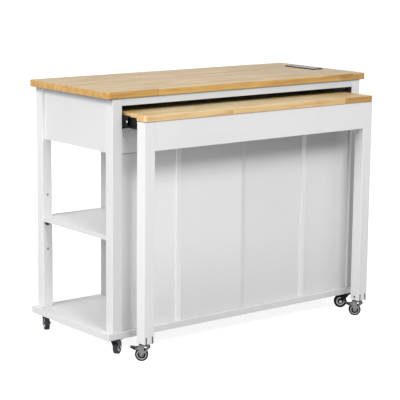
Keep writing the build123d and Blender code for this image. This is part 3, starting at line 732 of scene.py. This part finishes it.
# %% Give every node its finish
slot_finishes = {
    "white_paint": board_paint,
    "butcher_block": worktop_wood,
    "grey_strip": strip_grey,
    "black_steel": black_steel,
    "zinc_steel": zinc_plate,
    "satin_nickel": satin_nickel,
    "tyre_rubber": tyre_rubber,
    "black_plastic": black_plastic,
}
own_finishes = {
    "front_panels": panel_paint,
    "panel_battens": batten_paint,
    "left_end_panel": end_paint,
    "right_end_panel": end_paint,
    "top_rails": rail_paint,
    "partition_panel": inner_paint,
    "post_front_left": left_post_paint,
    "post_back_left": back_post_paint,
    "post_front_right": right_post_paint,
    "side_shelf": shelf_paint,
    "shelf_pins": black_steel,
    "caster_fork_front_left": dusty_steel,
    "caster_fork_back_left": dusty_steel,
    "base_panel": base_paint,
    "table_leg_left": leg_paint,
    "table_leg_right": leg_paint,
    "table_rails": dark_stain,
    "power_strip_body": strip_black,
    "power_strip_sockets": socket_plastic,
    "table_top": table_wood,
}
for entry in frame["record"]["subparts"]:
    node_finish = own_finishes.get(entry["node"], slot_finishes[entry["material_slot"]])
    nodes[entry["node"]].data.materials.clear()
    nodes[entry["node"]].data.materials.append(node_finish)

# %% [markdown]
# Tyres, rims, nuts and bars are round, so they are turned: a profile is carried once round an axis.
# Blender has a Spin tool for that, but a formula on whole arrays is shorter and leaves an even grid.

# %% Turning
steep = 0.9


def axes_round(axis):
    """The axis as a unit vector, and two more that are square to it and to each other."""
    axis = np.array(axis) / np.linalg.norm(axis)
    helper = np.array([0.0, 0.0, 1.0]) if abs(axis[2]) < steep else np.array([1.0, 0.0, 0.0])
    first = np.cross(helper, axis)
    first /= np.linalg.norm(first)
    return axis, first, np.cross(axis, first)


def turned(profile, centre, axis, sides, flats=0):
    """Carry (radius, along) points in millimetres round an axis.

    With flats the radius shrinks by the cosine rule of a regular polygon, which gives a nut its sides.
    """
    axis, first, second = axes_round(axis)
    turn = np.linspace(0, 2 * np.pi, sides, endpoint=False)
    radius = np.array(profile)[:, 0, None] * mm * np.ones(sides)
    if flats:
        sector = 2 * np.pi / flats
        radius = radius * np.cos(sector / 2) / np.cos(turn % sector - sector / 2)
    ring = np.cos(turn)[:, None] * first + np.sin(turn)[:, None] * second
    along = np.array(profile)[:, 1, None, None] * mm * axis
    return np.array(centre) + along + radius[..., None] * ring


print("turning is ready")

# %% [markdown]
# A grid of points becomes a mesh with quads between neighbours. It could be left as it is, but then it would
# have seams and crowded poles, so it is welded where the grid meets itself or shrinks to a point.
# Every new piece then rides on the body that carries it, and takes its finish.

# %% Meshing
smooth_angle = math.radians(38)
weld_distance = 0.002 * mm


def grid_quads(rows, columns, loop_rows):
    """Quads between neighbouring points; columns always loop round, rows only for a closed profile."""
    row = np.arange(rows if loop_rows else rows - 1)
    row, column = np.meshgrid(row, np.arange(columns), indexing="ij")
    next_row = (row + 1) % rows
    next_column = (column + 1) % columns
    corners = [row * columns + column, row * columns + next_column]
    corners += [next_row * columns + next_column, next_row * columns + column]
    return np.stack(corners, axis=-1).reshape(-1, 4)


def add_piece(name, grids, body, finish, loop_rows=False):
    """Put one or more point grids into a mesh, weld it, turn it outwards and let it ride on a body."""
    quads = []
    start = 0
    for grid in grids:
        quads.append(grid_quads(grid.shape[0], grid.shape[1], loop_rows) + start)
        start += grid.shape[0] * grid.shape[1]
    points = np.concatenate([grid.reshape(-1, 3) for grid in grids])
    mesh = bpy.data.meshes.new(name)
    mesh.from_pydata(points.tolist(), [], np.concatenate(quads).tolist())
    cleaned = bmesh.new()
    cleaned.from_mesh(mesh)
    bmesh.ops.remove_doubles(cleaned, verts=cleaned.verts, dist=weld_distance)
    bmesh.ops.dissolve_degenerate(cleaned, edges=cleaned.edges, dist=weld_distance)
    bmesh.ops.recalc_face_normals(cleaned, faces=cleaned.faces)
    cleaned.to_mesh(mesh)
    cleaned.free()
    mesh.polygons.foreach_set("use_smooth", [True] * len(mesh.polygons))
    mesh.set_sharp_from_angle(angle=smooth_angle)
    mesh.materials.append(finish)
    made = bpy.data.objects.new(name, mesh)
    bpy.context.scene.collection.objects.link(made)
    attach(made, body)
    return made


print("meshing is ready")

# %% [markdown]
# Each caster wheel is a black tyre on a moulded rim: a pale ring outside, a dark web and hub inside.
# The tyre's section could be a plain circle or a rectangle. It is a superellipse, which is a circle whose
# powers are changed until it is almost a rounded rectangle, with a shallow moulding line round its middle.
# Ring and hub are short outlines in millimetres, drawn for one side and mirrored.

# %% Wheel profiles
tyre_points = 56
tyre_half_width = 9.0
tyre_power = 0.42
moulding_depth = 0.35
moulding_half_width = 0.7
shoulder_share = 0.3
bead_foot = 6.6
bead_top = 8.6


def tyre_profile(radius, depth):
    """Superellipse section: powers of cosine and sine, less a narrow bell-shaped groove at the middle."""
    turn = np.linspace(0, 2 * np.pi, tyre_points, endpoint=False)
    out = np.sign(np.cos(turn)) * np.abs(np.cos(turn)) ** tyre_power
    along = np.sign(np.sin(turn)) * np.abs(np.sin(turn)) ** tyre_power * tyre_half_width
    groove = moulding_depth * np.exp(-((along / moulding_half_width) ** 2)) * (out > 0)
    return np.stack([radius - depth / 2 + out * depth / 2 - groove, along], axis=1)


def both_sides(half):
    """A closed profile from the points of its upper half, mirrored along the axis."""
    half = np.array(half)
    return np.concatenate([half, half[::-1] * np.array([1.0, -1.0])])


def ring_profile(outer, inner):
    """The pale outer ring of the rim: a rounded bead that stands almost level with the tyre's side."""
    shoulder = (outer - inner) * shoulder_share
    half = [(inner, bead_foot), (inner + shoulder / 3, 7.8), (inner + shoulder, bead_top)]
    half += [(outer - shoulder, bead_top), (outer - shoulder / 4, 7.9), (outer, bead_foot)]
    return both_sides(half)


def hub_profile(outer):
    """The dark web, dished between the ring and a raised hub that runs on the axle."""
    half = [(3.1, 9.3), (6.3, 9.3), (7.0, 8.7), (7.6, 5.0)]
    half += [(outer - 1.2, 4.4), (outer - 0.4, 5.2), (outer, 6.2)]
    return both_sides(half)


print("wheel profiles are ready")

# %% [markdown]
# In the solid model a wheel is one plain node, so the turned tyre replaces it, and ring and hub ride along.
# The wheels' places could be typed in, but the joints already hold them: a spin joint has the wheel's centre
# and axis, and on a flat floor the centre lies as high as the radius.

# %% Wheels
wheel_sides = 72
wheel_styles = {
    # The cabinet's tyres at the left end are greyer: painted light.
    "cabinet": {"tyre_depth": 8.5, "ring_width": 5.6, "ring_finish": rim_white, "dusty_left": True},
    "table": {"tyre_depth": 5.8, "ring_width": 2.8, "ring_finish": rim_grey, "dusty_left": False},
}
spins = [joint for name, joint in joints.items() if name.endswith("_spin")]
for spin in spins:
    body = spin["child"]
    centre = spin["pos_m"]
    style = wheel_styles["table" if body.startswith("table") else "cabinet"]
    radius = centre[2] / mm
    ring_outer = radius - style["tyre_depth"]
    ring_inner = ring_outer - style["ring_width"]
    tyre_grid = turned(tyre_profile(radius, style["tyre_depth"]), centre, spin["axis"], wheel_sides)
    ring_grid = turned(ring_profile(ring_outer, ring_inner), centre, spin["axis"], wheel_sides)
    hub_grid = turned(hub_profile(ring_inner), centre, spin["axis"], wheel_sides)
    # A tyre at the left end gets painted light.
    left_lit = style["dusty_left"] and centre[0] < 0
    tyre_finish = dusty_rubber if left_lit else tyre_rubber
    tyre = add_piece(f"{body}_tyre", [tyre_grid], body, tyre_finish, True)
    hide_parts(members[body][0])
    add_piece(f"{body}_ring", [ring_grid], body, style["ring_finish"], True)
    add_piece(f"{body}_hub", [hub_grid], body, black_plastic, True)
print("wheels:", len(spins))

# %% [markdown]
# The axle ends in a lock nut on each side of the fork: six flats, a bevel and a domed end.
# A cylinder would look like a peg, so the turned profile gets the polygon's cosine rule for its flats.
# The nuts sit over the plain axle ends of the solid model and turn with the fork.

# %% Axle nuts
nut_sides = 48
nut_flats = 6
nut_profile = [(0.0, 17.4), (1.4, 17.3), (2.6, 16.9), (3.3, 16.2)]
nut_profile += [(4.6, 16.0), (5.7, 15.3), (5.7, 12.05), (0.0, 12.05)]
for spin in spins:
    nuts = []
    for way in (-1, 1):
        nuts.append(turned(nut_profile, spin["pos_m"], way * np.array(spin["axis"]), nut_sides, nut_flats))
    nut_finish = zinc_plate if spin["parent"].startswith("table") else bright_zinc
    add_piece(f"{spin['parent']}_axle_nuts", nuts, spin["parent"], nut_finish)
print("axle nuts:", 2 * len(spins))

# %% [markdown]
# A cross-head screw is a dome with a cross cut into it: a height over a disc that drops inside the arms.
# Cutting the cross with a boolean would leave ragged triangles, and the height formula leaves an even grid.
# Lengths in the formula are shares of the head's radius and height.

# %% Cross-head screw
screw_rings = 14
screw_sides = 40
rim_rise = 0.35
dome_power = 2.6
arm_half_width = 0.17
arm_slope = 0.06
arm_reach = 0.62
arm_end_slope = 0.08
cross_depth = 0.45


def screw_head(centre, axis, radius, height):
    """A dome, the root of one less a power of the radius, less a cross; two last rings close it below."""
    share = np.concatenate([np.linspace(0, 1, screw_rings), [1.0, 0.0]])
    turn = np.linspace(0, 2 * np.pi, screw_sides, endpoint=False)
    share, turn = np.meshgrid(share, turn, indexing="ij")
    dome = rim_rise + (1 - rim_rise) * np.sqrt(np.clip(1 - share ** dome_power, 0, 1))
    off_arm = np.minimum(np.abs(np.cos(turn)), np.abs(np.sin(turn))) * share
    in_arm = np.clip((arm_half_width - off_arm) / arm_slope, 0, 1)
    before_end = np.clip((arm_reach - share) / arm_end_slope, 0, 1)
    rise = (dome - cross_depth * in_arm * before_end) * height
    rise[-2:] = 0.0
    axis, first, second = axes_round(axis)
    flat = np.cos(turn)[..., None] * first + np.sin(turn)[..., None] * second
    return np.array(centre) + (share * radius * mm)[..., None] * flat + (rise * mm)[..., None] * axis


print("cross-head screw: a grid of", screw_rings + 2, "by", screw_sides, "points")

# %% [markdown]
# Four screws hold each caster plate to the base. They could be left out, as they show only from low down,
# but a plate without screws looks like a sticker. They stand in a square round the swivel's axis.

# %% Screws of the caster plates
plate_screw_spread = 15 * mm
plate_screw_size = (3.4, 1.9)
plate_thickness = 2.5 * mm
plate_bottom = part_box("caster_plates")[1].z - plate_thickness
plate_screws = []
for name, joint in joints.items():
    if name.endswith("_swivel") and joint["parent"] == "cabinet":
        x, y, _ = joint["pos_m"]
        for step_x in (-plate_screw_spread, plate_screw_spread):
            for step_y in (-plate_screw_spread, plate_screw_spread):
                spot = (x + step_x, y + step_y, plate_bottom)
                plate_screws.append(screw_head(spot, (0, 0, -1), *plate_screw_size))
add_piece("caster_plate_screws", plate_screws, "cabinet", bright_zinc)
print("screws of the caster plates:", len(plate_screws))

# %% [markdown]
# The slides are screwed to the table's rails through their webs, and a flat screw near the front end of each
# middle member is its stop. Each kind is one piece, because all its screws move with the same body.
# Their places are reaches along Y from the front end of the member that they sit on.

# %% Screws of the slides
table_member_low, table_member_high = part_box("slide_table_members")
web_depth = 8.1 * mm
table_web = table_member_high.x - web_depth
slide_middle = (table_member_low.z + table_member_high.z) / 2
slide_screw_reaches = (210 * mm, 366 * mm)
slide_screw_size = (3.6, 2.0)
middle_member_low, middle_member_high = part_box("slide_middle_members")
stop_reach = 4.5 * mm
stop_size = (3.6, 1.2)
slide_screws = []
stops = []
for way in (-1, 1):
    for reach in slide_screw_reaches:
        spot = (way * table_web, table_member_low.y + reach, slide_middle)
        slide_screws.append(screw_head(spot, (way, 0, 0), *slide_screw_size))
    spot = (way * middle_member_high.x, middle_member_low.y + stop_reach, slide_middle)
    stops.append(screw_head(spot, (way, 0, 0), *stop_size))
add_piece("slide_screws", slide_screws, "table", bright_zinc)
add_piece("slide_stop_screws", stops, "slide_middles", bright_zinc)
print("screws of the slides:", len(slide_screws), "and", len(stops), "stops")

# %% [markdown]
# A dark dot near the foot of each table leg, on its inner face, is the cap of a cross dowel.
# A painted dot would do from afar, but a flat screw head catches the light at its rim, so that is used.

# %% Dowel caps
leg_low, leg_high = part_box("table_leg_right")
leg_middle_y = (leg_low.y + leg_high.y) / 2
dowel_rise = 13 * mm
dowel_cap_size = (4.0, 0.9)
dowel_caps = []
for way in (-1, 1):
    spot = (way * leg_low.x, leg_middle_y, leg_low.z + dowel_rise)
    dowel_caps.append(screw_head(spot, (-way, 0, 0), *dowel_cap_size))
add_piece("leg_dowel_caps", dowel_caps, "table", black_steel)
print("dowel caps:", len(dowel_caps))

# %% [markdown]
# The ears of the braked forks end in a dark release bar that runs from cheek to cheek.
# It could be a plain cylinder, but a turned rod with rounded ends shows no hard rim.
# The way that a fork points comes from its swivel's axis and the wheel's centre.

# %% Release bars of the braked casters
ear_back = 14.0
ear_height = 50.0
bar_sides = 32
bar_profile = [(0.0, -13.4), (1.6, -13.2), (2.5, -12.4), (2.7, -11.6)]
bar_profile += [(2.7, 11.6), (2.5, 12.4), (1.6, 13.2), (0.0, 13.4)]
braked_spins = [spin for spin in spins if spin["child"].startswith("table")]
for spin in braked_spins:
    fork = spin["parent"]
    stem = np.array(joints[f"{fork}_swivel"]["pos_m"][:2])
    trail = np.array(spin["pos_m"][:2]) - stem
    trail /= np.linalg.norm(trail)
    spot = (*(stem - trail * ear_back * mm), ear_height * mm)
    bar_grid = turned(bar_profile, spot, spin["axis"], bar_sides)
    add_piece(f"{fork}_release_bar", [bar_grid], fork, black_plastic)
print("release bars:", len(braked_spins))

# %% [markdown]
# The studio is a pale floor that runs out of sight and a white surround.
# Both should look white in the picture without pouring more light on the object. More lamps would bleach the
# paint, so only rays from the camera, mirror-like rays and rays through glass see the white, as a glow.
# The glow is weaker near the object, so that its shadow still shows there.

# %% Floor
floor_size = 40.0
floor_tone = grey(188)
floor_roughness = 0.9
near_glow = (0.84, 0.84, 0.84, 1.0)
far_glow = (1.0, 1.0, 1.0, 1.0)
no_glow = (0.0, 0.0, 0.0, 1.0)
glow_start = 1.2
glow_full = 3.6
direct_rays = ("Is Camera Ray", "Is Glossy Ray", "Is Transmission Ray")


def seen_directly(network):
    """1 for rays from the camera, mirror-like rays and rays through glass, and 0 for rays that light."""
    outputs = network.node("ShaderNodeLightPath").socket.node.outputs
    camera_ray, glossy_ray, clear_ray = [Wire(network, outputs[name]) for name in direct_rays]
    return camera_ray + glossy_ray + clear_ray


floor_corners = np.array([[-1, -1, 0], [1, -1, 0], [1, 1, 0], [-1, 1, 0]]) * floor_size / 2
floor_mesh = bpy.data.meshes.new("floor")
floor_mesh.from_pydata(floor_corners.tolist(), [], [(0, 1, 2, 3)])
floor = bpy.data.objects.new("floor", floor_mesh)
bpy.context.scene.collection.objects.link(floor)
floor_finish = Finish("studio_floor")
floor_place = floor_finish.node("ShaderNodeTexCoord", output="Object")
floor_reach = floor_finish.node(
    "ShaderNodeVectorMath", {"operation": "LENGTH"}, {0: floor_place}, output="Value"
)
far_off = between(floor_finish, floor_reach, glow_start, glow_full)
glow = blend(floor_finish, far_off, near_glow, far_glow)
glow = blend(floor_finish, seen_directly(floor_finish), no_glow, glow)
floor_finish.surface.inputs["Base Color"].default_value = floor_tone
floor_finish.surface.inputs["Roughness"].default_value = floor_roughness
floor_finish.surface.inputs["Specular IOR Level"].default_value = 0.0
floor_finish.surface.inputs["Emission Strength"].default_value = 1.0
floor_mesh.materials.append(floor_finish.shade({"Emission Color": glow}))
print("floor:", floor_size, "m wide")

# %% [markdown]
# The surround is the world round the scene. A white world of full strength would light the object flatly
# from everywhere, so it lights with only a part of that, and looks fully white where it is seen directly.

# %% Surround
surround_light = 0.25
surround_seen = 1.0
world = bpy.data.worlds.new("surround")
bpy.context.scene.world = world
world.use_nodes = True
sky = Network(world.node_tree)
background = sky.tree.nodes["Background"]
sky.feed(background.inputs["Color"], (1.0, 1.0, 1.0, 1.0))
sky_levels = {"Value": seen_directly(sky), "To Min": surround_light, "To Max": surround_seen}
sky.feed(background.inputs["Strength"], sky.node("ShaderNodeMapRange", None, sky_levels))
print("surround: lights at", surround_light)

# %% [markdown]
# Four square lamps do the lighting. A high one almost in front shapes the fronts and leaves the shadow under
# the apron, a weak one fills in from the right, one lights the left end, and a low one behind serves the
# views of the far side. That last one would glare on the tops from the front, so reflections don't show it.
# A lamp could be aimed by a constraint, but a matrix made from its place and its aim needs no extra object.

# %% Lamps
def standing(side, up, back, place):
    """The matrix of a lamp or camera at a place, which looks against back and has side to its right."""
    columns = np.stack([side, up, back, place], axis=1)
    return Matrix(columns.tolist() + [[0, 0, 0, 1]])


def lamp(name, place, aim, size, watts):
    """A square area lamp at a place, turned to aim at a point."""
    data = bpy.data.lights.new(name, "AREA")
    data.shape = "SQUARE"
    data.size = size
    data.energy = watts
    made = bpy.data.objects.new(name, data)
    bpy.context.scene.collection.objects.link(made)
    back = np.array(place) - np.array(aim)
    back /= np.linalg.norm(back)
    side = np.cross([0.0, 0.0, 1.0], back)
    side /= np.linalg.norm(side)
    made.matrix_world = standing(side, np.cross(back, side), back, place)
    return made


lamp("front_key", place=(-0.9, -4.3, 4.1), aim=(0, -0.3, 0.5), size=2.0, watts=150)
lamp("front_right", place=(1.7, -3.6, 3.4), aim=(0, -0.3, 0.5), size=2.0, watts=22)
lamp("left_fill", place=(-4.4, -0.5, 2.6), aim=(0, 0, 0.5), size=2.5, watts=146)
back_fill = lamp("back_fill", place=(1.4, 4.6, 0.9), aim=(0, 0.3, 0.5), size=1.6, watts=110)
back_fill.visible_glossy = False
print("lamps:", len(bpy.data.lights))

# %% [markdown]
# The camera stands where the photograph seems to be taken from, found by fitting the straight edges of the
# tops, the base and the posts. It could be set by eye, but then edges would be off by some pixels.
# It looks from the front left, a little above the worktop, through a long lens, so far edges shrink little.
# A small roll tilts the picture as the photograph is tilted.

# %% Camera
frame_pixels = 400
focal_pixels = 1490.35
sensor_mm = 36.0
azimuth = math.radians(38.564)
elevation = math.radians(10.646)
roll = math.radians(0.581)
target = np.array([-0.0073, 0.0505, 0.4543])
distance = 5.5908
level = math.cos(elevation)
back = np.array([-math.sin(azimuth) * level, -math.cos(azimuth) * level, math.sin(elevation)])
right = np.array([math.cos(azimuth), -math.sin(azimuth), 0.0])
up = np.cross(back, right)
rolled_right = math.cos(roll) * right + math.sin(roll) * up
rolled_up = math.cos(roll) * up - math.sin(roll) * right
eye = target + distance * back
camera_data = bpy.data.cameras.new("camera")
camera_data.sensor_width = sensor_mm
camera_data.lens = focal_pixels * sensor_mm / frame_pixels
camera = bpy.data.objects.new("camera", camera_data)
bpy.context.scene.collection.objects.link(camera)
camera.matrix_world = standing(rolled_right, rolled_up, back, eye)
bpy.context.scene.camera = camera
bpy.context.scene.view_settings.view_transform = "Standard"
print("camera at", eye.round(3), "with a lens of", round(camera_data.lens, 2), "mm")
